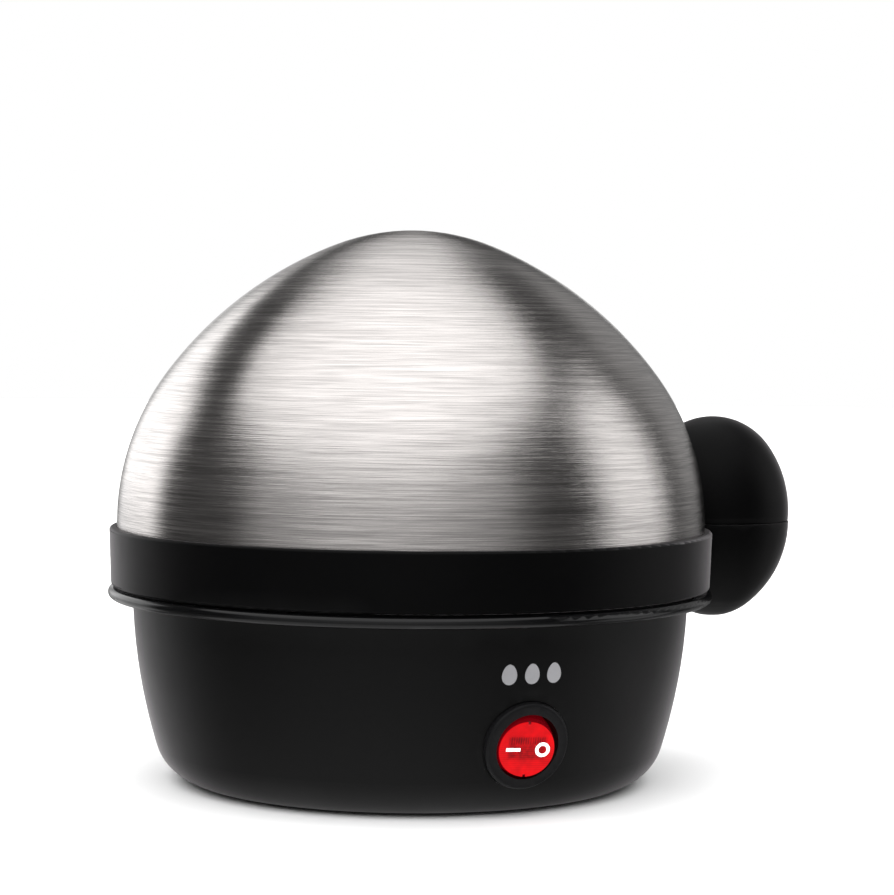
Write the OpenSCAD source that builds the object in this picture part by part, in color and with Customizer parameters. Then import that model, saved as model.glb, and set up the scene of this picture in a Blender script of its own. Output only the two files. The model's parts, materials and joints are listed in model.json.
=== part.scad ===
// Electric egg cooker: a brushed steel dome lid with an egg-shaped side handle on a black bowl base
// with a black coated steel water bowl, a ring heater below it and a round rocker switch in the front wall.
// Origin on the dome's axis at table level, switch towards -Y, handle towards +X, cord inlet towards +Y.

/* [Lid] */
// Outer radius of the steel dome at its straight skirt
dome_r = 80.5; // [80:0.1:80.6]
// Thickness of the dome's steel sheet
dome_sheet = 0.8; // [0.5:0.1:1]
// Outer radius of the plastic lid rim at its top edge
lid_rim_r = 82.5; // [82.4:0.1:82.8]
// Height of the lid rim's top edge above the table
lid_rim_top = 68.9; // [68:0.1:70]

/* [Handle] */
// Distance of the egg handle's axis from the dome's axis
handle_x = 95.8; // [95.5:0.1:97]
// Largest radius of the egg handle's lower half
handle_r = 22.1; // [21.8:0.1:22.4]
// Wall thickness of the two handle shells
handle_wall = 2.2; // [1.8:0.1:2.4]

/* [Base] */
// Largest outer radius of the base's moulded wall
base_r = 76.1; // [75.9:0.1:76.3]
// Wall thickness of the base
base_wall = 2.4; // [2:0.1:2.4]
// Radius of the rounded corner between the base's wall and its underside
base_corner = 13.5; // [13:0.1:13.6]

/* [Bowl and tray] */
// Height of the bowl's rolled rim above the table
bowl_top = 52.8; // [52.6:0.1:53]
// Thickness of the bowl's steel sheet
bowl_sheet = 0.8; // [0.6:0.1:1]
// Radius of the rolled rim's bead
bead_r = 1.55; // [1.4:0.05:1.6]
// Number of egg places in the tray
egg_count = 7; // [5:1:7]

/* [Switch] */
// Outer diameter of the switch bezel
bezel_d = 23; // [22.6:0.1:23.4]
// Height of the switch's centre above the table
switch_z = 19; // [18.5:0.5:20]
// Angle by which the switch faces downwards, as the wall behind it does
switch_tilt = 13; // [11:0.5:14]
// Angle between the rocker's on and off positions
rocker_travel = 16; // [12:1:16]

/* [Hidden] */
$fn = 96;
eps = 0.01;
lap = 1;

// Dome profile: three tangent arcs from the skirt to the top
shoulder_z = 70.1;
shoulder_arc = 69.2;
shoulder_angle = 36.4;
haunch_arc = 104;
haunch_angle = 68.3;
shoulder_x = dome_r - shoulder_arc;
haunch_x = shoulder_x + (shoulder_arc - haunch_arc) * cos(shoulder_angle);
haunch_z = shoulder_z + (shoulder_arc - haunch_arc) * sin(shoulder_angle);
crown_arc = haunch_arc + haunch_x / cos(haunch_angle);
crown_z = haunch_z + (haunch_arc - crown_arc) * sin(haunch_angle);
dome_low = 56;
dome_flange_r = 76.2;
dome_fit = 0.15;
handle_gap = 0.3;

// Lid rim, which rests on the bowl's land with a narrow gap all round
rim_draft = 0.5;
rim_low = bowl_top + 0.5;
rim_rest = bowl_top + 0.05;
rim_edge = 0.8;
skirt_r = 71.9;
skirt_wall = 1.2;
skirt_low = 50.2;
rim_screw_r = 78.1;

// Handle: two arcs for each half, meeting at the lid rim's top level
seam_z = lid_rim_top;
lower_side_arc = 30.9;
lower_angle = 52.4;
upper_r = handle_r - 0.05;
upper_side_arc = 32.5;
upper_angle = 36.1;
upper_side_z = 3;
handle_screw_head_z = 50.5;

// Base profile: one long side arc and a corner arc tangent to it
side_arc = 150;
side_z = 53.9;
side_x = base_r - side_arc;
corner_x = side_x + sqrt(pow(side_arc - base_corner, 2) - pow(side_z - base_corner, 2));
corner_angle = atan2(side_z - base_corner, corner_x - side_x);
housing_top = 51.2;
housing_low = 0.8;
cover_r = 59.8;
cover_top = 3;
web_top = 5.2;
web_r = 48;
cover_screw_r = 53.4;
cover_screw_turn = 40;
pillar_r = 55.5;
pillar_top = 24;

// Bowl: land, upright wall, step for the tray and sloping sides down to the heated floor
bowl_wall_r = 72.2;
step_z = 45;
step_r = 68;
floor_r = 46;
floor_z = 30;
bead_x = 82.8 - bead_r;
plate_r = 40;
plate_h = 3;
plate_low = floor_z - bowl_sheet - plate_h;
element_r = 34;
element_tube = 3.2;
element_z = plate_low - element_tube;
element_gap = 80;

// Tray
tray_r = 70.2;
tray_sheet = 1.4;
tray_rim = 49;
egg_pitch_r = 50;
egg_hole_r = 16.5;
knob_top = 103;

// Switch: its own frame has +Z out of the wall and its origin on the bezel's seat
seat_depth = 0.9;
bezel_h = 2;
bezel_edge = 0.9;
barrel_r = 9.9;
barrel_h = 13;
opening_r = 8.6;
pivot_h = -3.2;
face_h = 6.8;
trunnion_r = 1.5;
running_gap = 0.05;
contact_h = -10.6;
blade_w = 4.8;
blade_t = 0.8;
blade_end = -21;
blade_pitch = 5.2;
contact_travel = rocker_travel - 2;
contact_pin_r = 0.6;
contact_plate_t = 0.5;

// Cord inlet and terminal block at the back
inlet_z = 14;
gland_bore = 3.4;
gland_seat = 5.6;
pad_y = 70.4;
block_azimuth = 62;
block_r = 54.5;
poles = [-9, -3, 3, 9];
wire_r = 1.1;

// Wire routes as [distance from the axis, azimuth, height]; three of them start at the switch's terminals
terminal_r = wall_r(switch_z) - 23.6;
terminal_z = switch_z + 5.5;
live_route = [
    [terminal_r, -90, terminal_z], [45, -89.5, terminal_z - 0.5], [43.5, -86, 19], [45, -75, 12],
    [46.5, -50, 9.5], [46.5, -10, 9.5], [46.5, 30, 9.5], [47.3, 46, 9.2], [50, 51.6, 8.8], [52.5, 52.3, 8.8]
];
switched_route = [
    [terminal_r + 0.2, -83.8, terminal_z], [45, -82.5, terminal_z - 1], [40, -79, 16], [28, -74, 10],
    [15, -62, 6.5], [8, -28, 5], [5, 0, 8.4]
];
fuse_route = [
    [5, 180, 8.4], [9, 160, 5.6], [18, 140, 9], [25, 130, 17], [24.6, 125.5, 22.5], [22, 114.7, 24]
];
element_route = [
    [22, 65.3, 24], [24.5, 55, 22], [24, 62, 15], [27, 80, 11], [36, 88, 14], [39, 83, 20.5],
    [37.5, 74.9, 23]
];
neutral_route = [
    [37.5, 105.1, 23], [39.5, 98, 20.5], [42.5, 92, 15], [46, 80, 10.5], [50, 72.2, 8.8], [52.5, 71.7, 8.8]
];
lamp_route = [
    [terminal_r + 0.2, -96.2, terminal_z], [45, -97.5, terminal_z - 1], [44, -101, 18], [46, -112, 11],
    [46.5, -135, 8.5], [46.5, -180, 7.5], [46.5, -225, 7], [46.5, -262, 6.2], [46.5, -284, 6.2],
    [48.2, -292, 7.5], [50, -294.6, 8.8], [52.5, -294.7, 8.8]
];
earth_route = [
    [52.5, 58.7, 8.8], [49.5, 58.4, 8.9], [45, 52, 12], [43, 35, 14], [43.5, 15, 15], [46, 3, 19],
    [48, 0, 23.8]
];

// ---------- helpers ----------

// Ring with a rectangular section between two radii and two heights
module ring(r_in, r_out, low, high) {
    difference() {
        disc(r_out, low, high);
        disc(r_in, low - 1, high + 1);
    }
}

module disc(r, low, high) {
    translate([0, 0, low])
        cylinder(r = r, h = high - low);
}

module around(count, start = 0) {
    for (i = [0:count - 1])
        rotate([0, 0, start + i * 360 / count])
            children();
}

// Solid of revolution under an arc between two heights, with the arc's centre at radius x and height z
module arc_zone(x, z, r, low, high) {
    rotate_extrude()
        intersection() {
            translate([x, z])
                circle(r = r, $fn = 240);
            translate([0, low])
                square([200, high - low]);
        }
}

// Screw with its head below and its shank upwards from the head's bearing face at z = 0
module screw(head_r, head_h, shank_r, length) {
    difference() {
        translate([0, 0, -head_h])
            cylinder(r = head_r, h = head_h, $fn = 32);
        translate([0, 0, -head_h - eps])
            cross_recess(head_r * 0.55, head_h * 0.6);
    }
    cylinder(r = shank_r, h = length, $fn = 32);
}

module cross_recess(reach, depth) {
    for (turn = [0, 90])
        rotate([0, 0, turn])
            translate([-reach, -0.35, 0])
                cube([2 * reach, 0.7, depth]);
}

// A point from radius, azimuth and height
function polar(p) = [p[0] * cos(p[1]), p[0] * sin(p[1]), p[2]];

// Point on the smooth curve through b and c, with a and d as its neighbours
function spline(a, b, c, d, t) =
    b + (c - a) * (t / 2)
    + (2 * a - 5 * b + 4 * c - d) * (t * t / 2)
    + (3 * b - a - 3 * c + d) * (t * t * t / 2);

function smooth(p, steps) = [
    for (i = [0:len(p) - 2])
        for (s = [0:steps - 1])
            spline(p[max(i - 1, 0)], p[i], p[i + 1], p[min(i + 2, len(p) - 1)], s / steps),
    p[len(p) - 1]
];

function unit(v) = v / norm(v);

// Round tube along a list of points, closed at both ends
module tube_along(points, r, sides) {
    last = len(points) - 1;
    rings = [
        for (i = [0:last])
            let (along = unit(points[min(i + 1, last)] - points[max(i - 1, 0)]),
                 side = unit(cross(along, abs(along[2]) > 0.9 ? [1, 0, 0] : [0, 0, 1])),
                 up = cross(side, along))
            for (k = [0:sides - 1])
                points[i] + r * (cos(k * 360 / sides) * side + sin(k * 360 / sides) * up)
    ];
    skin = [
        for (i = [0:last - 1])
            for (k = [0:sides - 1])
                let (a = i * sides + k, b = i * sides + (k + 1) % sides)
                    each [[a, b + sides, b], [a, a + sides, b + sides]]
    ];
    polyhedron(
        points = rings,
        faces = concat(skin,
            [[for (k = [0:sides - 1]) k]],
            [[for (k = [sides - 1:-1:0]) last * sides + k]])
    );
}

module wire(route) {
    tube_along(smooth([for (p = route) polar(p)], 4), wire_r, 8);
}

// ---------- lid ----------

// The dome as a full solid, made smaller by inset. A tangent arc of smaller radius lies inside the
// larger one, so its zone runs on a little into its neighbour's and the two join as one solid.
module dome_solid(inset, low) {
    haunch_low = shoulder_z + (shoulder_arc - inset) * sin(shoulder_angle);
    crown_low = haunch_z + (haunch_arc - inset) * sin(haunch_angle);
    disc(dome_r - inset, low, shoulder_z);
    arc_zone(shoulder_x, shoulder_z, shoulder_arc - inset, shoulder_z - lap, haunch_low + lap);
    arc_zone(haunch_x, haunch_z, haunch_arc - inset, haunch_low, crown_low);
    arc_zone(0, crown_z, crown_arc - inset, crown_low - lap, crown_z + crown_arc);
}

module lid_dome() {
    color("silver")
        difference() {
            dome_solid(0, dome_low);
            dome_solid(dome_sheet, dome_low + dome_sheet);
            disc(dome_flange_r, dome_low - 1, dome_low + 1.5);
            around(4, 45)
                translate([rim_screw_r, 0, dome_low - 1])
                    cylinder(r = 1.25, h = 3, $fn = 32);
            // steam vent on the side away from the switch
            rotate([-34, 0, 0])
                translate([0, 0, 105])
                    cylinder(r = 1.6, h = 60, $fn = 32);
        }
}

module rim_section() {
    top_x = lid_rim_r - rim_edge;
    low_r = lid_rim_r - rim_draft;
    polygon([
        [dome_r + dome_fit, rim_low],
        [low_r - rim_edge, rim_low],
        [low_r, rim_low + rim_edge],
        [lid_rim_r, lid_rim_top - rim_edge],
        [top_x, lid_rim_top],
        [dome_r + dome_fit, lid_rim_top]
    ]);
    translate([top_x, lid_rim_top - rim_edge])
        circle(r = rim_edge, $fn = 48);
    translate([low_r - rim_edge, rim_low + rim_edge])
        circle(r = rim_edge, $fn = 48);
    translate([skirt_r - skirt_wall, rim_rest])
        square([bead_x - 1 - skirt_r + skirt_wall, dome_low - rim_rest]);
    translate([skirt_r - skirt_wall, rim_low])
        square([low_r - rim_edge - skirt_r + skirt_wall, dome_low - rim_low]);
    translate([skirt_r - skirt_wall, skirt_low])
        square([skirt_wall, dome_low - skirt_low]);
}

function cap_radius(side_r, side_arc, angle) = side_arc + (side_r - side_arc) / cos(angle);

// Half an egg as a full solid, upwards from the seam and made smaller by inset
module half_egg(side_r, side_z, arc, angle, inset) {
    cap_r = cap_radius(side_r, arc, angle);
    cap_z = side_z + (arc - cap_r) * sin(angle);
    cap_low = side_z + (arc - inset) * sin(angle);
    arc_zone(side_r - arc, side_z, arc - inset, 0, cap_low);
    arc_zone(0, cap_z, cap_r - inset, cap_low - lap, cap_z + cap_r);
}

module lower_egg(inset) {
    translate([handle_x, 0, seam_z])
        mirror([0, 0, 1])
            half_egg(handle_r, 0, lower_side_arc, lower_angle, inset);
}

module upper_egg(inset) {
    translate([handle_x, 0, seam_z])
        half_egg(upper_r, upper_side_z, upper_side_arc, upper_angle, inset);
}

// Ball that follows the dome's side with a narrow gap where the handle stands beside it
module dome_ball(extra) {
    translate([0, 0, shoulder_z - 2])
        sphere(r = dome_r + 0.5 + extra);
}

// The lower half of the egg handle, open at the top and cut clear of the bowl's rolled rim
module handle_cup() {
    base_clear = 83.3;
    difference() {
        lower_egg(0);
        difference() {
            lower_egg(handle_wall);
            disc(base_clear + handle_wall, 30, rim_low + handle_wall);
            translate([handle_x, 0, 30])
                cylinder(r = 5, h = 26);
        }
        disc(lid_rim_r - 1, 30, 80);
        disc(base_clear, 30, rim_low);
        translate([handle_x, 0, 30])
            cylinder(r = 3.3, h = handle_screw_head_z - 30);
        translate([handle_x, 0, 30])
            cylinder(r = 1.7, h = 30);
    }
}

module lid_rim() {
    color([0.06, 0.06, 0.07]) {
        difference() {
            rotate_extrude()
                rim_section();
            around(4, 45)
                translate([rim_screw_r, 0, 0]) {
                    cylinder(r = 2.6, h = 54.6, $fn = 32);
                    cylinder(r = 1.4, h = 60, $fn = 32);
                }
        }
        handle_cup();
    }
}

module rim_screws() {
    color("gainsboro")
        around(4, 45)
            translate([rim_screw_r, 0, 54.6])
                screw(2.3, 1.4, 1.2, 4);
}

// The upper half of the egg handle, shaped to the dome's side with a narrow gap
module handle_cap() {
    color([0.06, 0.06, 0.07]) {
        difference() {
            upper_egg(0);
            difference() {
                upper_egg(handle_wall);
                dome_ball(handle_wall);
            }
            dome_ball(0);
            translate([handle_x, 0, seam_z - eps])
                ring(handle_r - 0.7, handle_r + 1, 0, 0.45);
        }
        difference() {
            translate([handle_x, 0, 57])
                cylinder(r = 3.6, h = seam_z + 28 - 57);
            translate([handle_x, 0, 56])
                cylinder(r = 1.35, h = 16);
        }
    }
}

module handle_screw() {
    color("gainsboro")
        translate([handle_x, 0, handle_screw_head_z])
            screw(2.9, 2.2, 1.35, 19);
}

// ---------- egg tray ----------

module egg_tray() {
    color([0.09, 0.09, 0.1])
        difference() {
            union() {
                disc(tray_r, step_z, step_z + tray_sheet);
                ring(tray_r - 1.6, tray_r, step_z, tray_rim);
                around(egg_count, 90)
                    translate([egg_pitch_r, 0, 0])
                        disc(egg_hole_r + 1.3, step_z, tray_rim);
                disc(9, step_z, tray_rim);
            }
            around(egg_count, 90)
                translate([egg_pitch_r, 0, 0])
                    disc(egg_hole_r, step_z - 1, tray_rim + 1);
            around(egg_count, 90 + 180 / egg_count) {
                translate([27, 0, 0])
                    disc(3, step_z - 1, tray_rim);
                translate([63, 0, 0])
                    disc(2.4, step_z - 1, tray_rim);
            }
            disc(3.5, step_z - 1, tray_rim + 1);
        }
}

module tray_handle() {
    color([0.09, 0.09, 0.1]) {
        disc(3.45, step_z - 0.4, tray_rim);
        disc(4.6, tray_rim, knob_top - 6);
        disc(9, knob_top - 6, knob_top);
        rotate_extrude()
            translate([9, knob_top - 3])
                circle(r = 3, $fn = 48);
    }
}

// ---------- bowl and heater ----------

module heating_bowl() {
    land_z = bowl_top - 0.05;
    color([0.08, 0.08, 0.085]) {
        rotate_extrude()
            polygon([
                [0, floor_z],
                [floor_r, floor_z],
                [step_r, step_z],
                [bowl_wall_r, step_z],
                [bowl_wall_r, land_z],
                [bead_x, land_z],
                [bead_x, bowl_top - bowl_sheet],
                [bowl_wall_r + bowl_sheet, bowl_top - bowl_sheet],
                [bowl_wall_r + bowl_sheet, step_z - bowl_sheet],
                [step_r + 0.3, step_z - bowl_sheet],
                [floor_r + 0.3, floor_z - bowl_sheet],
                [0, floor_z - bowl_sheet]
            ]);
        rotate_extrude()
            translate([bead_x, bowl_top - bead_r])
                circle(r = bead_r, $fn = 64);
    }
}

module bowl_seal() {
    color([0.75, 0.75, 0.72])
        ring(bowl_wall_r + bowl_sheet + 0.7, base_r - 0.3, housing_top, bowl_top - bowl_sheet);
}

module heat_plate() {
    color([0.7, 0.7, 0.7])
        difference() {
            disc(plate_r, plate_low, floor_z - bowl_sheet);
            for (side = [-1, 1])
                translate([side * 14, 0, plate_low - 1])
                    cylinder(r = 1.25, h = 3, $fn = 32);
        }
}

// Ring-shaped tubular heater, open towards the back
module heating_element() {
    color([0.45, 0.45, 0.43])
        translate([0, 0, element_z]) {
            rotate([0, 0, 90 + element_gap / 2])
                rotate_extrude(angle = 360 - element_gap)
                    translate([element_r, 0])
                        circle(r = element_tube, $fn = 32);
            for (side = [-1, 1])
                rotate([0, 0, 90 + side * element_gap / 2])
                    translate([element_r, 0, 0])
                        rotate([side * 90, 0, 0])
                            translate([0, 0, -4])
                                cylinder(r = element_tube, h = 4, $fn = 32);
        }
}

module at_element_end(side) {
    rotate([0, 0, 90 + side * element_gap / 2])
        translate([element_r, -side * 4, element_z])
            children();
}

module element_terminals() {
    color("silver")
        for (side = [-1, 1])
            at_element_end(side) {
                rotate([side * 90, 0, 0])
                    cylinder(r = 1.6, h = 1.5, $fn = 32);
                translate([-0.4, side > 0 ? -9.5 : 1.5, -2.4])
                    cube([blade_t, 8, blade_w]);
            }
}

// Stepped steel strips welded under the bowl and screwed to the housing's pillars
module bowl_brackets() {
    weld_r = plate_r + 1;
    leg_r = floor_r - 1;
    foot_z = floor_z - bowl_sheet;
    color("lightgray")
        around(3)
            difference() {
                union() {
                    translate([weld_r, -5, foot_z - 1])
                        cube([leg_r - weld_r, 10, 1]);
                    translate([leg_r - 1, -5, pillar_top])
                        cube([1, 10, foot_z - pillar_top]);
                    translate([leg_r - 1, -5, pillar_top])
                        cube([pillar_r + 5 - leg_r, 10, 1]);
                }
                translate([pillar_r, 0, pillar_top - 1])
                    cylinder(r = 1.5, h = 3, $fn = 32);
            }
}

module bracket_screws() {
    color("gainsboro")
        around(3)
            translate([pillar_r, 0, pillar_top - 4])
                screw(2.9, 2.2, 1.45, 6.5);
}

module thermostat() {
    color([0.85, 0.83, 0.76])
        disc(8, plate_low - 7, plate_low - 0.6);
    color("silver") {
        disc(6, plate_low - 0.6, plate_low);
        for (side = [-1, 1])
            translate([side * 5 - blade_t / 2, -blade_w / 2, plate_low - 14])
                cube([blade_t, blade_w, 7]);
    }
}

module thermostat_bracket() {
    color("lightgray")
        difference() {
            union() {
                translate([-17, -4, plate_low - 0.6])
                    cube([34, 8, 0.6]);
                disc(8, plate_low - 0.6, plate_low);
            }
            disc(6.1, plate_low - 1, plate_low + 1);
            for (side = [-1, 1])
                translate([side * 14, 0, plate_low - 1])
                    cylinder(r = 1.35, h = 3, $fn = 32);
        }
}

module thermostat_screws() {
    color("gainsboro")
        for (side = [-1, 1])
            translate([side * 14, 0, plate_low - 0.6])
                screw(2.4, 1.4, 1.2, 2.4);
}

module thermal_fuse() {
    color([0.9, 0.9, 0.86])
        translate([-9, 20, plate_low - 2.2])
            rotate([0, 90, 0])
                cylinder(r = 2, h = 18, $fn = 32);
}

// Spring strip, welded to the heat plate at both ends, that holds the fuse's sleeve against it
module fuse_clip() {
    strip = 0.5;
    half = 2.2;
    drop = 4.9;
    color("lightgray")
        translate([-3, 20, plate_low])
            for (side = [0, 1])
                mirror([0, side, 0]) {
                    translate([0, half, -strip])
                        cube([6, 4, strip]);
                    translate([0, half, -drop])
                        cube([6, strip, drop]);
                    translate([0, 0, -drop])
                        cube([6, half + strip, strip]);
                }
}

// ---------- base ----------

// The base as a full solid, made smaller by inset
module base_solid(inset, low, high) {
    join_z = base_corner - (base_corner - inset) * sin(corner_angle);
    arc_zone(side_x, side_z, side_arc - inset, join_z, high);
    disc(corner_x, low, join_z + lap);
    arc_zone(corner_x, base_corner, base_corner - inset, low, join_z + lap);
}

// Outer radius of the wall at a height on the side arc
function wall_r(z) = side_x + sqrt(side_arc * side_arc - (z - side_z) * (z - side_z));

module at_switch() {
    translate([0, -wall_r(switch_z), switch_z])
        rotate([90 + switch_tilt, 0, 0])
            translate([0, 0, -seat_depth])
                children();
}

// The cord inlet's own frame: +Z out of the back wall, origin on the flat seat of the gland
module at_inlet() {
    translate([0, pad_y, inlet_z])
        rotate([-90, 0, 0])
            children();
}

module base_housing() {
    color([0.05, 0.05, 0.06])
        difference() {
            union() {
                difference() {
                    base_solid(0, housing_low, housing_top);
                    base_solid(base_wall, web_top, housing_top + 1);
                }
                around(4, cover_screw_turn)
                    translate([cover_screw_r, 0, 0])
                        disc(3.5, cover_top, 15);
                around(3)
                    translate([pillar_r, 0, 0])
                        disc(4.2, cover_top, pillar_top);
                at_inlet()
                    disc(8, -gland_seat, 0);
                for (side = [-1, 1])
                    translate([side * 8.5, 57, 0])
                        disc(3, cover_top, inlet_z - 3);
            }
            disc(web_r, 0, web_top + 1);
            disc(cover_r + 0.2, 0, cover_top);
            around(4, cover_screw_turn)
                translate([cover_screw_r, 0, 0])
                    disc(1.35, 0, 13);
            around(3)
                translate([pillar_r, 0, 0]) {
                    disc(3.1, 0, pillar_top - 4);
                    disc(1.6, 0, pillar_top + 1);
                }
            at_inlet() {
                disc(5.5, -12, 1);
                disc(7.7, 0, 6);
            }
            for (side = [-1, 1])
                translate([side * 8.5, 57, 0])
                    disc(1.2, 0, inlet_z);
            at_switch() {
                cylinder(r = bezel_d / 2 + 0.3, h = 5);
                translate([0, 0, -6])
                    cylinder(r = barrel_r + 0.15, h = 8);
            }
        }
}

module bottom_cover() {
    color([0.07, 0.07, 0.08])
        difference() {
            disc(cover_r, housing_low, cover_top);
            ring(56.4, 59.2, 0, 2);
            around(4, cover_screw_turn)
                translate([cover_screw_r, 0, 0]) {
                    disc(2.4, 0, 1.9);
                    disc(1.5, 0, cover_top + 1);
                }
            // air slots in the middle
            for (row = [-2:2])
                translate([-14, row * 6 - 1.2, 0])
                    cube([28, 2.4, cover_top + 1]);
        }
}

module cover_screws() {
    color("gainsboro")
        around(4, cover_screw_turn)
            translate([cover_screw_r, 0, 1.9])
                screw(2.2, 1, 1.3, 9);
}

module foot_ring() {
    color([0.12, 0.12, 0.12])
        ring(56.5, 59.1, 0, 2);
}

module rating_plate() {
    color([0.75, 0.75, 0.76])
        translate([-18, 24, housing_low - 0.2])
            cube([36, 16, 0.2]);
}

// ---------- switch ----------

module switch_body() {
    color([0.08, 0.08, 0.09])
        at_switch()
            difference() {
                union() {
                    disc(bezel_d / 2 - bezel_edge, 0, bezel_h);
                    disc(bezel_d / 2, 0, bezel_h - bezel_edge);
                    rotate_extrude()
                        translate([bezel_d / 2 - bezel_edge, bezel_h - bezel_edge])
                            circle(r = bezel_edge, $fn = 48);
                    disc(barrel_r, -barrel_h, 0);
                    // snap ribs that grip behind the wall
                    for (side = [-1, 1])
                        translate([side * barrel_r - 0.6, -2, -6])
                            cube([1.2, 4, 1.6]);
                }
                disc(opening_r, -barrel_h - 1, bezel_h + 1);
                translate([0, 12, pivot_h])
                    rotate([90, 0, 0])
                        cylinder(r = trunnion_r + running_gap, h = 24, $fn = 48);
            }
}

module switch_base() {
    color([0.1, 0.1, 0.11])
        at_switch()
            difference() {
                disc(opening_r - 0.05, -barrel_h, -barrel_h + 1.2);
                for (place = [-1:1])
                    translate([place * blade_pitch - blade_t / 2 - 0.05, -blade_w / 2 - 0.05, -barrel_h - 1])
                        cube([blade_t + 0.1, blade_w + 0.1, 4]);
            }
}

// Three blades: the middle one carries the rocking contact's pins and the outer two end just below its reach
module switch_terminals() {
    middle_top = contact_h - contact_pin_r - running_gap;
    outer_top = contact_h - 0.35 - blade_pitch * tan(contact_travel / 2);
    color("gold")
        at_switch()
            for (place = [-1:1])
                translate([place * blade_pitch - blade_t / 2, -blade_w / 2, blade_end])
                    cube([blade_t, blade_w, (place == 0 ? middle_top : outer_top) - blade_end]);
}

// Glow lamp between the rocker's wall and the plunger, standing on its two leads
module neon_lamp() {
    lamp_x = 3.7;
    half = 3;
    at_switch() {
        color([1, 0.6, 0.45])
            translate([lamp_x, half, pivot_h])
                rotate([90, 0, 0])
                    cylinder(r = 1.2, h = 2 * half, $fn = 32);
        color("silver")
            for (end = [-1, 1])
                translate([lamp_x, end * (half + 0.3), 0])
                    disc(0.35, -barrel_h + 1.2, pivot_h + 0.3);
    }
}

module lamp_resistor() {
    color([0.8, 0.7, 0.5])
        at_switch()
            translate([-5.2, 3.5, -8])
                rotate([90, 0, 0])
                    cylinder(r = 1.1, h = 7, $fn = 32);
}

// The rocker's own frame: origin on the pivot, turned to the on position
module at_rocker() {
    at_switch()
        translate([0, 0, pivot_h])
            rotate([0, -rocker_travel / 2, 0])
                children();
}

module switch_rocker() {
    shell = 1.3;
    side_r = opening_r - 0.4;
    face_r = 7.2;
    color([0.85, 0.1, 0.1])
        at_rocker()
            difference() {
                union() {
                    rotate_extrude()
                        polygon([
                            [0, -1.8], [side_r, -1.8], [side_r, 1.8],
                            [side_r - 0.5, 5], [face_r, face_h], [0, face_h]
                        ]);
                    for (end = [0, 180])
                        rotate([0, 0, end])
                            translate([0, -7.2, 0])
                                rotate([90, 0, 0])
                                    cylinder(r = trunnion_r, h = 2.5, $fn = 48);
                }
                disc(6.5, -3, face_h - shell);
                for (end = [-1, 1])
                    translate([0, end * (face_r + 0.1), face_h])
                        rotate([45, 0, 0])
                            cube([0.8, 1.3, 1.3], center = true);
                marks(face_h - 0.3, 1);
            }
}

// On bar and off ring, from a height upwards
module marks(low, h) {
    translate([-3.6 - 1.9, -0.45, low])
        cube([3.8, 0.9, h]);
    translate([4.1, 0, 0])
        ring(1.05, 1.95, low, low + h);
}

module rocker_marks() {
    color("white")
        at_rocker()
            marks(face_h - 0.3, 0.3);
}

// Sprung pin that turns with the rocker and tips the contact
module contact_plunger() {
    color([0.9, 0.9, 0.85])
        at_rocker() {
            difference() {
                disc(1.9, -3.4, face_h - 1.3);
                disc(1.3, -4, face_h - 2.5);
            }
            disc(1.1, -5.8, -3.8);
            translate([0, 0, -5.8])
                sphere(r = 1.1, $fn = 32);
        }
}

module plunger_spring() {
    turns = 5;
    low = -3.7;
    high = face_h - 2.6;
    color("silver")
        at_rocker()
            tube_along([
                for (i = [0:turns * 10])
                    [0.95 * cos(i * 36), 0.95 * sin(i * 36), low + 0.25 + (high - low - 0.5) * i / (turns * 10)]
            ], 0.18, 6);
}

// Strip that tips on two pins at its sides, stored in the on position
module rocking_contact() {
    half_width = 1.6;
    color("gold")
        at_switch()
            translate([0, 0, contact_h])
                rotate([0, contact_travel / 2, 0]) {
                    translate([-6.4, -half_width, -contact_plate_t / 2])
                        cube([12.8, 2 * half_width, contact_plate_t]);
                    for (end = [0, 180])
                        rotate([90, 0, end])
                            translate([0, 0, half_width - 0.2])
                                cylinder(r = contact_pin_r, h = 1.2, $fn = 32);
                }
}

// ---------- power ----------

// Bush with an outer flange and an inner ring that grips behind the housing's boss
module cord_gland() {
    color([0.1, 0.1, 0.1])
        at_inlet()
            difference() {
                union() {
                    disc(7.5, 0, 2);
                    disc(5.4, -gland_seat - 1, 0.5);
                    disc(6.2, -gland_seat - 2.2, -gland_seat - 0.2);
                }
                disc(gland_bore, -gland_seat - 3, 3);
            }
}

module cord_clamp() {
    color([0.12, 0.12, 0.12])
        difference() {
            translate([-11.5, 54, inlet_z - 3])
                cube([23, 6, 8]);
            translate([0, 62, inlet_z])
                rotate([90, 0, 0])
                    cylinder(r = 3.2, h = 10);
            translate([-3.2, 53, inlet_z - 4])
                cube([6.4, 8, 4]);
            for (side = [-1, 1])
                translate([side * 8.5, 57, 0])
                    disc(1.5, 0, 30);
        }
}

module clamp_screws() {
    color("gainsboro")
        for (side = [-1, 1])
            translate([side * 8.5, 57, inlet_z + 5])
                mirror([0, 0, 1])
                    screw(2.4, 1.6, 1.15, 14);
}

module at_block() {
    rotate([0, 0, block_azimuth])
        translate([block_r, 0, web_top])
            rotate([0, 0, 90])
                children();
}

module terminal_block() {
    color([0.92, 0.92, 0.88])
        at_block()
            difference() {
                translate([-12.5, -4.5, 0])
                    cube([25, 9, 8.5]);
                for (pole = poles)
                    translate([pole, 0, 0]) {
                        translate([0, 5, 3.6])
                            rotate([90, 0, 0])
                                cylinder(r = 1.6, h = 10, $fn = 32);
                        disc(1.4, 4, 9);
                    }
            }
}

module block_screws() {
    color("goldenrod")
        at_block()
            for (pole = poles)
                translate([pole, 0, 0])
                    difference() {
                        disc(1.35, 5.4, 8);
                        translate([-2, -0.25, 7.4])
                            cube([4, 0.5, 1]);
                    }
}

module live_wire() {
    color([0.4, 0.22, 0.1])
        wire(live_route);
}

module switched_wire() {
    color([0.1, 0.1, 0.1])
        wire(switched_route);
}

module fuse_wire() {
    color("white")
        wire(fuse_route);
}

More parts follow.
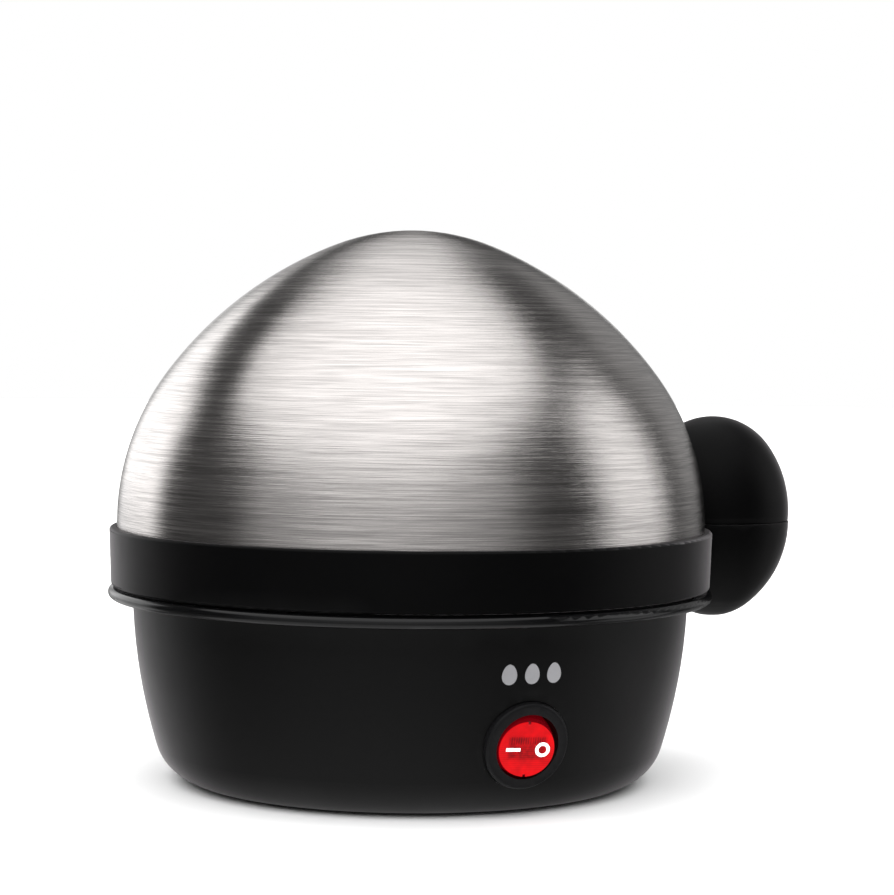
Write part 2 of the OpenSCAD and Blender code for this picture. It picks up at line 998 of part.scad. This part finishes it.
module element_wire() {
    color("white")
        wire(element_route);
}

module neutral_wire() {
    color([0.1, 0.3, 0.75])
        wire(neutral_route);
}

module lamp_wire() {
    color([0.1, 0.3, 0.75])
        wire(lamp_route);
}

module earth_wire() {
    color([0.3, 0.65, 0.2])
        wire(earth_route);
}

// Push-on receptacle around a blade that points upwards, from its lower end at z = 0
module receptacle() {
    length = 9;
    difference() {
        translate([-1.1, -2.9, 0])
            cube([2.2, 5.8, length]);
        translate([-blade_t / 2 - running_gap, -blade_w / 2 - running_gap, 1.5])
            cube([blade_t + 2 * running_gap, blade_w + 2 * running_gap, length]);
    }
}

module wire_connectors() {
    color("whitesmoke") {
        at_switch()
            for (place = [-1:1])
                translate([place * blade_pitch, 0, blade_end - 2.5])
                    receptacle();
        for (side = [-1, 1]) {
            translate([side * 5, 0, plate_low - 17.6])
                receptacle();
            at_element_end(side)
                translate([0, -side * 12, 0])
                    rotate([-side * 90, 0, 0])
                        receptacle();
        }
    }
}

lid_dome();
lid_rim();
rim_screws();
handle_cap();
handle_screw();
egg_tray();
tray_handle();
heating_bowl();
bowl_seal();
heat_plate();
heating_element();
element_terminals();
bowl_brackets();
bracket_screws();
thermostat();
thermostat_bracket();
thermostat_screws();
thermal_fuse();
fuse_clip();
base_housing();
bottom_cover();
cover_screws();
foot_ring();
rating_plate();
switch_body();
switch_base();
switch_terminals();
neon_lamp();
lamp_resistor();
switch_rocker();
rocker_marks();
contact_plunger();
plunger_spring();
rocking_contact();
cord_gland();
cord_clamp();
clamp_screws();
terminal_block();
block_screws();
live_wire();
switched_wire();
fuse_wire();
element_wire();
neutral_wire();
lamp_wire();
earth_wire();
wire_connectors();
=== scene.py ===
import json
import math

import bmesh
import bpy
from mathutils import Matrix, Vector


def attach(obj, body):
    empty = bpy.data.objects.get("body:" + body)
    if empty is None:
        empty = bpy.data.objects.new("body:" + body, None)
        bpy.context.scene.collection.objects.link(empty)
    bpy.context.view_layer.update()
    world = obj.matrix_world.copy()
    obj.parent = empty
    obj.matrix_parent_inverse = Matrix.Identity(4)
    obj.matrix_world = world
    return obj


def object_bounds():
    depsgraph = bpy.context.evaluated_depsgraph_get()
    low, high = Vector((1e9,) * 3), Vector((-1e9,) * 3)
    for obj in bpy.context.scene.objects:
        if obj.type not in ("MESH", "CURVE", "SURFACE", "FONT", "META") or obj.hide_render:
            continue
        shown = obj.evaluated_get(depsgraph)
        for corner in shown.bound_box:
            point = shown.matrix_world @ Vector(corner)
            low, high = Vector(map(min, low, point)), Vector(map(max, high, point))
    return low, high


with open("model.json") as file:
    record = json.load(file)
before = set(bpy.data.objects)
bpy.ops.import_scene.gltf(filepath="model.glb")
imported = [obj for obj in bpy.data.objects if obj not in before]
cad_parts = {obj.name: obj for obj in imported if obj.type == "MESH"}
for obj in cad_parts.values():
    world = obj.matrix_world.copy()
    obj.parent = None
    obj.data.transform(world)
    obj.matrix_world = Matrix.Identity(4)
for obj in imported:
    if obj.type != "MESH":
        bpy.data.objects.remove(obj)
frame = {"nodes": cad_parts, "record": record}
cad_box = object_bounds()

MM = 0.001
scene = bpy.context.scene


# ---------- node helpers ----------

class Graph:
    """Short calls for building a node tree. A value that is a socket is linked; any other is set."""

    def __init__(self, tree):
        self.tree = tree

    def node(self, kind, inputs=None, **settings):
        made = self.tree.nodes.new(kind)
        for name, value in settings.items():
            setattr(made, name, value)
        for key, value in (inputs or {}).items():
            if isinstance(value, bpy.types.NodeSocket):
                self.tree.links.new(value, made.inputs[key])
            else:
                made.inputs[key].default_value = value
        return made

    def math(self, operation, a, b=0.0, c=0.0, clamp=False):
        made = self.node("ShaderNodeMath", {0: a, 1: b, 2: c}, operation=operation, use_clamp=clamp)
        return made.outputs[0]

    def noise(self, vector, scale, detail=2.0, roughness=0.5):
        inputs = {"Vector": vector, "Scale": scale, "Detail": detail, "Roughness": roughness}
        return self.node("ShaderNodeTexNoise", inputs).outputs["Fac"]

    def spread(self, value, low, high, from_low=0.0, from_high=1.0, smooth=False):
        kind = "SMOOTHSTEP" if smooth else "LINEAR"
        inputs = {"Value": value, "From Min": from_low, "From Max": from_high, "To Min": low, "To Max": high}
        return self.node("ShaderNodeMapRange", inputs, interpolation_type=kind).outputs["Result"]

    def blend(self, factor, a, b):
        made = self.node("ShaderNodeMix", {0: factor}, data_type="RGBA")
        for key, value in ((6, a), (7, b)):
            if isinstance(value, bpy.types.NodeSocket):
                self.tree.links.new(value, made.inputs[key])
            else:
                made.inputs[key].default_value = (*value, 1.0)
        return made.outputs[2]

    def combine(self, x, y, z):
        return self.node("ShaderNodeCombineXYZ", {0: x, 1: y, 2: z}).outputs[0]

    def place(self):
        """The point in the row frame, which is the same as the piece's own frame."""
        return self.node("ShaderNodeTexCoord").outputs["Object"]

    def split(self, vector):
        return self.node("ShaderNodeSeparateXYZ", {0: vector}).outputs


def material(name, paint):
    """A material whose Principled shader is set up by paint(graph, shader)."""
    made = bpy.data.materials.new(name)
    made.use_nodes = True
    shader = made.node_tree.nodes["Principled BSDF"]
    paint(Graph(made.node_tree), shader)
    return made


def link(graph, socket, shader, name):
    graph.tree.links.new(socket, shader.inputs[name])


def bump(graph, shader, height, depth, strength=1.0):
    made = graph.node("ShaderNodeBump", {"Strength": strength, "Distance": depth, "Height": height})
    link(graph, made.outputs["Normal"], shader, "Normal")


# ---------- materials ----------

def brushed_round(name, color, roughness, streaks, centre_z):
    """Steel brushed in circles round the Z axis. The marks are spaced by angle as seen from centre_z."""
    def paint(graph, shader):
        x, y, z = graph.split(graph.place())
        squares = graph.math("ADD", graph.math("POWER", x, 2.0), graph.math("POWER", y, 2.0))
        radius = graph.math("SQRT", squares)
        along = graph.math("ARCTAN2", graph.math("SUBTRACT", z, centre_z), radius)

        def marks(round_scale, upward_scale, detail):
            place = graph.combine(graph.math("MULTIPLY", x, round_scale),
                                  graph.math("MULTIPLY", y, round_scale),
                                  graph.math("MULTIPLY", along, upward_scale))
            return graph.noise(place, 1.0, detail, 0.6)
        fine = marks(55.0, 360.0, 3.0)
        scratches = marks(35.0, 160.0, 4.0)
        broad = marks(20.0, 60.0, 2.0)
        coarse = graph.math("ADD", graph.math("MULTIPLY", scratches, 0.3), graph.math("MULTIPLY", broad, 0.2))
        mixed = graph.math("ADD", graph.math("MULTIPLY", fine, 0.5), coarse)
        smudge = graph.noise(graph.place(), 30.0, 3.0)
        dark = tuple(c * (1.0 - streaks) for c in color)
        light = tuple(min(1.0, c * (1.0 + streaks)) for c in color)
        link(graph, graph.blend(graph.spread(mixed, 0.0, 1.0, 0.40, 0.60), dark, light), shader, "Base Color")
        rough = graph.math("ADD", graph.spread(mixed, roughness * 0.85, roughness * 1.15, 0.35, 0.65),
                           graph.spread(smudge, -0.02, 0.02, 0.3, 0.7))
        link(graph, rough, shader, "Roughness")
        shader.inputs["Metallic"].default_value = 1.0
        shader.inputs["Anisotropic"].default_value = 0.75
        shader.inputs["Anisotropic Rotation"].default_value = 0.25
        tangent = graph.node("ShaderNodeTangent", direction_type="RADIAL", axis="Z")
        link(graph, tangent.outputs[0], shader, "Tangent")
        bump(graph, shader, mixed, BRUSH_DEPTH)
    return material(name, paint)


def moulded(name, color, roughness, grain=0.00025, depth=0.00001, specular=0.5, edge_wear_and_highlight=0.02, **sockets):
    """Moulded plastic or rubber: a fine eroded grain, faint smudges and lighter edges, partly wear and partly
    a painted highlight.
    """
    def paint(graph, shader):
        place = graph.place()
        texture = graph.noise(place, 1.0 / grain, 2.0, 0.6)
        smudge = graph.noise(place, 35.0, 4.0, 0.6)
        dark = tuple(c * 0.85 for c in color)
        light = tuple(min(1.0, c * 1.15) for c in color)
        tone = graph.blend(graph.spread(smudge, 0.0, 1.0, 0.3, 0.7), dark, light)
        # sharp edges are painted lighter by pointiness: partly wear, partly a painted highlight along the
        # rims
        edge = graph.spread(graph.node("ShaderNodeNewGeometry").outputs["Pointiness"], 0.0, edge_wear_and_highlight, 0.52, 0.6)
        tone = graph.blend(edge, tone, tuple(min(1.0, c + 0.25) for c in color))
        link(graph, tone, shader, "Base Color")
        rough = graph.math("ADD", graph.spread(smudge, roughness - 0.04, roughness + 0.04, 0.3, 0.7),
                           graph.spread(texture, -0.03, 0.03, 0.3, 0.7))
        link(graph, rough, shader, "Roughness")
        shader.inputs["Specular IOR Level"].default_value = specular
        for socket, value in sockets.items():
            shader.inputs[socket.replace("_", " ")].default_value = value
        bump(graph, shader, texture, depth)
    return material(name, paint)


def plain_metal(name, color, roughness, grain, streak=1.0):
    """Metal with a rolled or cast grain; streak above 1 stretches the grain along X."""
    def paint(graph, shader):
        x, y, z = graph.split(graph.place())
        stretched = graph.combine(graph.math("DIVIDE", x, streak), y, z)
        texture = graph.noise(stretched, 1.0 / grain, 3.0, 0.6)
        stain = graph.noise(graph.place(), 60.0, 3.0)
        dark = tuple(c * 0.8 for c in color)
        link(graph, graph.blend(graph.spread(stain, 0.0, 1.0, 0.35, 0.65), dark, color), shader, "Base Color")
        link(graph, graph.spread(texture, roughness - 0.07, roughness + 0.07, 0.3, 0.7), shader, "Roughness")
        shader.inputs["Metallic"].default_value = 1.0
        bump(graph, shader, texture, 0.00001)
    return material(name, paint)


# ---------- the rocker's own frame ----------

joints = {joint["name"]: joint for joint in frame["record"]["behaviour"]["joints"]}
ROCKER_PIVOT = Vector(joints["rocker_tilt"]["pos_m"])
ROCKER_AXIS = Vector(joints["rocker_tilt"]["axis"]).normalized()
ROCKER_REST_TILT = math.radians(joints["rocker_tilt"]["range_deg"][1] / 2)
WALL_OUTWARD = ROCKER_AXIS.cross(Vector((1, 0, 0)))
if WALL_OUTWARD.y > 0:
    WALL_OUTWARD.negate()
FACE_OUTWARD = Matrix.Rotation(ROCKER_REST_TILT, 3, ROCKER_AXIS) @ WALL_OUTWARD
if FACE_OUTWARD.x > 0:
    FACE_OUTWARD = Matrix.Rotation(-ROCKER_REST_TILT, 3, ROCKER_AXIS) @ WALL_OUTWARD
FACE_ACROSS = ROCKER_AXIS.cross(FACE_OUTWARD)
if FACE_ACROSS.x < 0:
    FACE_ACROSS.negate()
rocker = frame["nodes"]["switch_rocker"]
rocker_points = [rocker.matrix_world @ vertex.co - ROCKER_PIVOT for vertex in rocker.data.vertices]
FACE_HEIGHT = max(point.dot(FACE_OUTWARD) for point in rocker_points) / MM

# the lens's inside as [low, high] across and up the face, in millimetres from its middle
WINDOW_ACROSS = (-4.8, 4.9)
WINDOW_UP = (-2.6, 3.4)
PRISMS_UP = (1.4, 3.4)
LINES_UP = (-5.6, 1.2)
PRISM_PITCH = 0.62
LINE_PITCH = 0.55


def lit_lens(name):
    """Red lens lit from inside: bright round the edge, a darker window with prism ribs, and dark red sides
    painted as shade.
    """
    def paint(graph, shader):
        offset = graph.node("ShaderNodeVectorMath", {0: graph.place(), 1: tuple(ROCKER_PIVOT)},
                            operation="SUBTRACT").outputs["Vector"]

        def along(direction):
            inputs = {0: offset, 1: tuple(direction)}
            dot = graph.node("ShaderNodeVectorMath", inputs, operation="DOT_PRODUCT")
            return graph.math("DIVIDE", dot.outputs["Value"], MM)
        across, upward, outward = along(FACE_ACROSS), along(ROCKER_AXIS), along(FACE_OUTWARD)

        def inside(value, low, high, soft=0.25):
            above = graph.spread(value, 0.0, 1.0, low - soft, low + soft, smooth=True)
            below = graph.spread(value, 1.0, 0.0, high - soft, high + soft, smooth=True)
            return graph.math("MULTIPLY", above, below)

        def ribs(value, pitch):
            wave = graph.math("SINE", graph.math("MULTIPLY", value, 2 * math.pi / pitch))
            return graph.spread(wave, 0.0, 1.0, -1.0, 1.0)
        window = graph.math("MULTIPLY", inside(across, *WINDOW_ACROSS, 0.7), inside(upward, *WINDOW_UP, 0.7))
        prisms = graph.math("MULTIPLY", inside(upward, *PRISMS_UP, 0.1), ribs(across, PRISM_PITCH))
        lines = graph.math("MULTIPLY", inside(upward, *LINES_UP), ribs(upward, LINE_PITCH))
        mottle = graph.noise(graph.place(), 900.0, 3.0)
        cloud = graph.noise(graph.place(), 260.0, 2.0)
        shade = graph.math("MULTIPLY", window, graph.spread(mottle, 0.26, 0.50, 0.35, 0.65))
        shade = graph.math("ADD", shade, graph.math("MULTIPLY", graph.math("MULTIPLY", prisms, window), 0.35))
        shade = graph.math("ADD", shade, graph.math("MULTIPLY", lines, 0.14))
        shade = graph.math("ADD", shade, graph.spread(cloud, 0.0, 0.3, 0.35, 0.65), clamp=True)
        glow = graph.blend(shade, (0.98, 0.006, 0.009), (0.12, 0.004, 0.006))
        # below the top face the glow drops to dark red: painted shade on the rocker's side walls
        face = graph.spread(outward, 0.0, 1.0, FACE_HEIGHT - 0.5, FACE_HEIGHT - 0.1, smooth=True)
        glow = graph.blend(face, (0.09, 0.0, 0.002), glow)
        link(graph, glow, shader, "Emission Color")
        shader.inputs["Emission Strength"].default_value = 0.92
        link(graph, graph.blend(face, (0.06, 0.001, 0.002), (0.05, 0.001, 0.002)), shader, "Base Color")
        link(graph, graph.spread(mottle, 0.16, 0.26), shader, "Roughness")
        shader.inputs["Specular IOR Level"].default_value = 0.12
        bump(graph, shader, graph.math("ADD", lines, prisms), 0.00002)
    return material(name, paint)


BLACK = (0.0008, 0.0008, 0.0009)
BRUSH_DEPTH = 0.0001
SHEEN_TINT = (1.0, 0.95, 0.98, 1.0)
SLOT_MATERIALS = {
    "brushed_dome_steel": brushed_round("dome_steel", (0.645, 0.615, 0.60), 0.22, 0.27, 0.056),
    "coated_bowl_steel": moulded("coated_bowl", (0.002, 0.002, 0.0022), 0.13, grain=0.0006, specular=0.34),
    "black_plastic": moulded("satin_black", BLACK, 0.44, specular=0.07, Sheen_Weight=0.20,
                             Sheen_Roughness=0.28, Sheen_Tint=SHEEN_TINT),
    "tray_plastic": moulded("tray_black", (0.012, 0.012, 0.013), 0.45, specular=0.3),
    "screw_steel": plain_metal("zinc_screw", (0.6, 0.6, 0.58), 0.3, 0.0004),
    "silicone": moulded("grey_silicone", (0.6, 0.6, 0.57), 0.6),
    "cast_aluminium": plain_metal("cast_plate", (0.62, 0.62, 0.62), 0.5, 0.0008),
    "element_sheath": plain_metal("heater_sheath", (0.34, 0.33, 0.31), 0.45, 0.0005),
    "plated_steel": plain_metal("rolled_steel", (0.6, 0.6, 0.6), 0.32, 0.0003, 12.0),
    "cream_plastic": moulded("cream_phenolic", (0.72, 0.69, 0.58), 0.45),
    "glass_sleeve": moulded("woven_sleeve", (0.8, 0.78, 0.7), 0.75, grain=0.0006, depth=0.0001),
    "black_rubber": moulded("rubber", (0.012, 0.012, 0.012), 0.7, grain=0.0004, depth=0.00003, specular=0.3),
    "plate_aluminium": plain_metal("plate", (0.6, 0.6, 0.6), 0.35, 0.0002, 25.0),
    "switch_plastic": moulded("switch_black", (0.006, 0.006, 0.0065), 0.36, specular=0.12),
    "contact_brass": plain_metal("brass", (0.75, 0.56, 0.26), 0.3, 0.0003, 8.0),
    "lamp_glass": moulded("glow_glass", (0.95, 0.6, 0.45), 0.1),
    "red_rocker": lit_lens("red_lens"),
    "white_print": moulded("white_print", (0.9, 0.88, 0.88), 0.5, Emission_Color=(1.0, 0.9, 0.9, 1.0),
                           Emission_Strength=0.45),
    "brown_insulation": moulded("brown_wire", (0.16, 0.07, 0.03), 0.4),
    "black_insulation": moulded("black_wire", (0.015, 0.015, 0.015), 0.4),
    "white_insulation": moulded("white_wire", (0.75, 0.75, 0.72), 0.45),
    "blue_insulation": moulded("blue_wire", (0.03, 0.12, 0.45), 0.4),
    "green_insulation": moulded("green_wire", (0.12, 0.36, 0.05), 0.4),
}
# the base's moulding is a little shinier than the lid rim and the handle
NODE_MATERIALS = {
    "base_housing": moulded("satin_base", BLACK, 0.52, specular=0.21, Sheen_Weight=0.36,
                            Sheen_Roughness=0.28, Sheen_Tint=SHEEN_TINT),
}

slot_of = {row["node"]: row["material_slot"] for row in frame["record"]["subparts"]}


def dress(obj, chosen):
    obj.data.materials.clear()
    obj.data.materials.append(chosen)


for node_name, node_object in frame["nodes"].items():
    dress(node_object, NODE_MATERIALS.get(node_name, SLOT_MATERIALS[slot_of[node_name]]))


# ---------- printed sign ----------

def egg_sign(height=5.2, width=4.0, taper=0.14, spacing=6.2, count=3,
             middle_z=37.5, lift=0.06, root=0.06, steps=40):
    """Row of small egg shapes on the front wall above the switch, in millimetres. They stand out by lift and
    reach into the wall by root."""
    wall = frame["nodes"]["base_housing"]
    to_wall = wall.matrix_world.inverted()

    def on_wall(x, z, out):
        start = to_wall @ Vector((x * MM, cad_box[0][1] - MM, z * MM))
        found, place, normal, _ = wall.ray_cast(start, Vector((0, 1, 0)))
        assert found
        return wall.matrix_world @ (place + normal * out * MM)
    shape = bmesh.new()
    for index in range(count):
        middle_x = (index - (count - 1) / 2) * spacing
        front, back = [], []
        for step in range(steps):
            turn = 2 * math.pi * step / steps
            x = middle_x + width / 2 * math.sin(turn) * (1 - taper * math.cos(turn))
            z = middle_z + height / 2 * math.cos(turn)
            front.append(shape.verts.new(on_wall(x, z, lift)))
            back.append(shape.verts.new(on_wall(x, z, -root)))
        front_hub = shape.verts.new(on_wall(middle_x, middle_z, lift))
        back_hub = shape.verts.new(on_wall(middle_x, middle_z, -root))
        for step in range(steps):
            after = (step + 1) % steps
            shape.faces.new((front_hub, front[step], front[after]))
            shape.faces.new((back_hub, back[after], back[step]))
            shape.faces.new((front[step], back[step], back[after], front[after]))
    bmesh.ops.recalc_face_normals(shape, faces=shape.faces)
    mesh = bpy.data.meshes.new("egg_sign")
    shape.to_mesh(mesh)
    shape.free()
    sign = bpy.data.objects.new("egg_sign", mesh)
    scene.collection.objects.link(sign)
    dress(sign, moulded("sign_print", (0.24, 0.24, 0.25), 0.55, specular=0.2))
    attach(sign, "base")


egg_sign()


# ---------- floor, light and camera ----------

CAMERA_AZIMUTH = math.radians(-24)  # towards -X from -Y
CAMERA_DISTANCE = 0.7
CAMERA_LENS = 102.4
CAMERA_HEIGHT = 0.121
CAMERA_PITCH = math.radians(-2.47)
CAMERA_YAW = math.radians(-0.76)
CAMERA_ROLL = math.radians(-0.62)
toward = Vector((math.sin(CAMERA_AZIMUTH), -math.cos(CAMERA_AZIMUTH), 0.0))
rightward = Vector((math.cos(CAMERA_AZIMUTH), math.sin(CAMERA_AZIMUTH), 0.0))


def make_camera():
    data = bpy.data.cameras.new("camera")
    data.sensor_width = 36.0
    data.lens = CAMERA_LENS
    camera = bpy.data.objects.new("camera", data)
    scene.collection.objects.link(camera)
    camera.location = toward * CAMERA_DISTANCE + Vector((0, 0, CAMERA_HEIGHT))
    camera.rotation_euler = (math.radians(90) + CAMERA_PITCH, CAMERA_ROLL, CAMERA_AZIMUTH + CAMERA_YAW)
    scene.camera = camera


def make_floor():
    """White table. Reflections see the studio's mirror image in its place, as in a polished table top."""
    mesh = bpy.data.meshes.new("floor")
    floor = bpy.data.objects.new("floor", mesh)
    scene.collection.objects.link(floor)
    shape = bmesh.new()
    bmesh.ops.create_circle(shape, cap_ends=True, segments=128, radius=4.0)
    shape.to_mesh(mesh)
    shape.free()
    floor.visible_glossy = False

    def paint(graph, shader):
        grain = graph.noise(graph.place(), 12.0, 3.0)
        link(graph, graph.blend(grain, (0.87, 0.87, 0.87), (0.9, 0.9, 0.9)), shader, "Base Color")
        link(graph, graph.spread(grain, 0.45, 0.55), shader, "Roughness")
        shader.inputs["Specular IOR Level"].default_value = 0.3
    dress(floor, material("table_white", paint))


# (start, end, bottom, top, side softness, top softness, brightness), in degrees from the camera's azimuth
STUDIO_PANELS = (
    (-64, 40, -20, 100, 12, 5, 0.34),
    (-36, 14, -20, 100, 18, 5, 0.24),
    (80, 115, -20, 42, 5, 3, 1.05),
    (130, 165, -20, 36, 6, 5, 0.22),
    (-158, -115, -20, 28.5, 7, 4, 1.50),
    (-172, -158, -20, 22, 6, 4, 0.40),
    (-200, -169, -20, 10, 4, 4, 0.60),
    (170, 200, -20, 10, 4, 4, 1.20),
    (-200, -160, 34, 100, 5, 5, 0.80),
    (166, 200, 34, 100, 4, 5, 0.80),
)
STUDIO_DARK = 0.06
OVERHEAD_AZIMUTH = math.radians(-28)
OVERHEAD_ELEVATION = math.radians(73)
OVERHEAD_OUTER = math.radians(50.5)
OVERHEAD_INNER = math.radians(44)
OVERHEAD_EDGE_LIGHT = 1.0
OVERHEAD_LIGHT = 1.5
OVERHEAD_FULL = 0.93  # cosine of the angle within which the overhead light is at its full strength
TABLE_MIRROR = 0.57
TABLE_GLOW = 0.13
FILL_ENERGY = 4.5
FILL_ANGLE = math.radians(120)


def make_studio():
    """Soft light from all round: a big round overhead light and panels of light at the sides with dark gaps.
    Below the horizon is the mirror image that a polished table shows."""
    world = bpy.data.worlds.new("studio")
    scene.world = world
    world.use_nodes = True
    tree = world.node_tree
    tree.nodes.clear()
    graph = Graph(tree)
    direction = graph.node("ShaderNodeTexCoord").outputs["Generated"]

    def along(vector):
        made = graph.node("ShaderNodeVectorMath", {0: direction, 1: vector}, operation="DOT_PRODUCT")
        return made.outputs["Value"]
    across, facing, height = along(rightward), along(toward), along((0, 0, 1))
    rise = graph.math("ABSOLUTE", height)
    # azimuth from the camera's direction in degrees, positive to the right
    azimuth = graph.math("MULTIPLY", graph.math("ARCTAN2", across, facing), 180 / math.pi)
    elevation = graph.math("MULTIPLY", graph.math("ARCSINE", rise), 180 / math.pi)
    light = STUDIO_DARK
    for start, end, bottom, top, soft, top_soft, brightness in STUDIO_PANELS:
        opens = graph.spread(azimuth, 0.0, 1.0, start - soft, start + soft, smooth=True)
        closes = graph.spread(azimuth, 1.0, 0.0, end - soft, end + soft, smooth=True)
        above = graph.spread(elevation, 0.0, 1.0, bottom - top_soft, bottom + top_soft, smooth=True)
        below = graph.spread(elevation, brightness, 0.0, top - top_soft, top + top_soft, smooth=True)
        sides = graph.math("MULTIPLY", opens, closes)
        light = graph.math("ADD", light, graph.math("MULTIPLY", sides, graph.math("MULTIPLY", above, below)))
    level = toward * math.cos(OVERHEAD_AZIMUTH) + rightward * math.sin(OVERHEAD_AZIMUTH)
    level_part = graph.math("MULTIPLY", along(level), math.cos(OVERHEAD_ELEVATION))
    nearness = graph.math("ADD", level_part, graph.math("MULTIPLY", rise, math.sin(OVERHEAD_ELEVATION)))
    outer, inner = math.cos(OVERHEAD_OUTER), math.cos(OVERHEAD_INNER)
    overhead = graph.spread(nearness, 0.0, 1.0, outer, inner, smooth=True)
    strength = graph.spread(nearness, OVERHEAD_EDGE_LIGHT, OVERHEAD_LIGHT, outer, OVERHEAD_FULL)
    light = graph.node("ShaderNodeMix", {0: overhead, 2: light, 3: strength}, data_type="FLOAT").outputs[0]
    under = graph.spread(height, TABLE_MIRROR, 1.0, -0.02, 0.02)
    glow = graph.spread(height, TABLE_GLOW, 0.0, -0.4, -0.1, smooth=True)
    light = graph.math("ADD", graph.math("MULTIPLY", light, under), glow)
    seen = graph.node("ShaderNodeLightPath").outputs["Is Camera Ray"]
    shown = graph.node("ShaderNodeMix", {0: seen, 2: light, 3: 1.0}, data_type="FLOAT").outputs[0]
    background = graph.node("ShaderNodeBackground", {"Color": (1.0, 1.0, 1.0, 1.0), "Strength": shown})
    output = graph.node("ShaderNodeOutputWorld")
    tree.links.new(background.outputs[0], output.inputs["Surface"])


def make_fill():
    """A very wide lamp over the table that brightens it evenly and doesn't show in the steel."""
    data = bpy.data.lights.new("fill", "SUN")
    data.energy = FILL_ENERGY
    data.angle = FILL_ANGLE
    fill = bpy.data.objects.new("fill", data)
    scene.collection.objects.link(fill)
    fill.visible_glossy = False
    fill.visible_camera = False


scene.view_settings.view_transform = "Standard"
make_camera()
make_floor()
make_studio()
make_fill()
